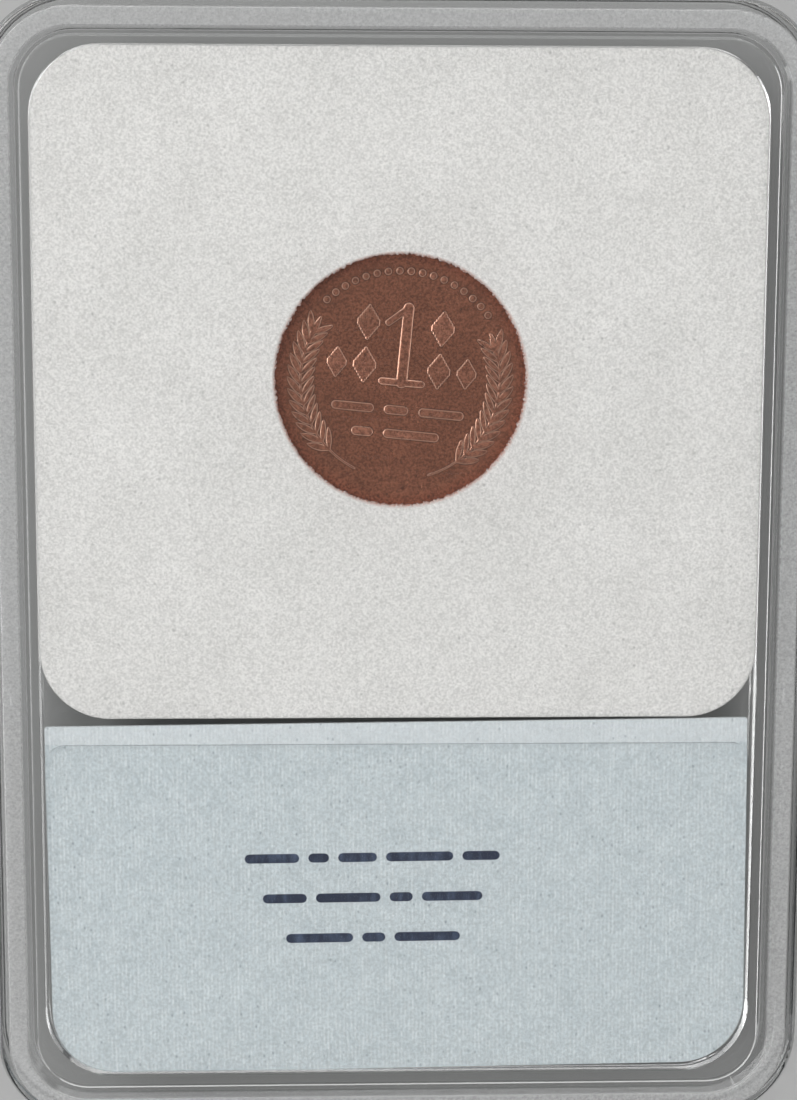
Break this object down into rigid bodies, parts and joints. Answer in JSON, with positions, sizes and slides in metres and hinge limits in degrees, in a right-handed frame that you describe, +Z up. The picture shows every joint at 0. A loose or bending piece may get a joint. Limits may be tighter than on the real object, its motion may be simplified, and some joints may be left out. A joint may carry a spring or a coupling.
{
  "type": "graded coin slab",
  "caption": "Flat clear plastic holder that seals a copper coin in a white foam insert above a printed label card, with stacking rims on both faces.",
  "frame": {"origin": "on the surface that the slab rests on, under the middle of its outline", "axes": "+Z up through the slab's back, +Y along its length from the label end to the coin end, +X across it. It lies on its front face."},
  "size_m": [0.062, 0.086, 0.008],
  "materials": {
    "front_shell": "gloss",
    "back_shell": "gloss",
    "foam_insert": "matte",
    "coin": "satin",
    "label_card": "matte"
  },
  "bodies": {
    "holder": {"front_shell": "front_shell", "foam_insert": "foam_insert", "label_card": "label_card"},
    "cover": {"back_shell": "back_shell"},
    "coin": {"coin": "coin"}
  },
  "joints": [
    {"name": "back_shell_lift", "type": "slide", "parent": "holder", "child": "cover", "axis": [0, 0, 1], "range_m": [0, 0.02]},
    {"name": "coin_turn", "type": "hinge", "parent": "holder", "child": "coin", "pos_m": [0, 0.0148, 0.004], "axis": [0, 0, 1], "continuous": true}
  ]
}
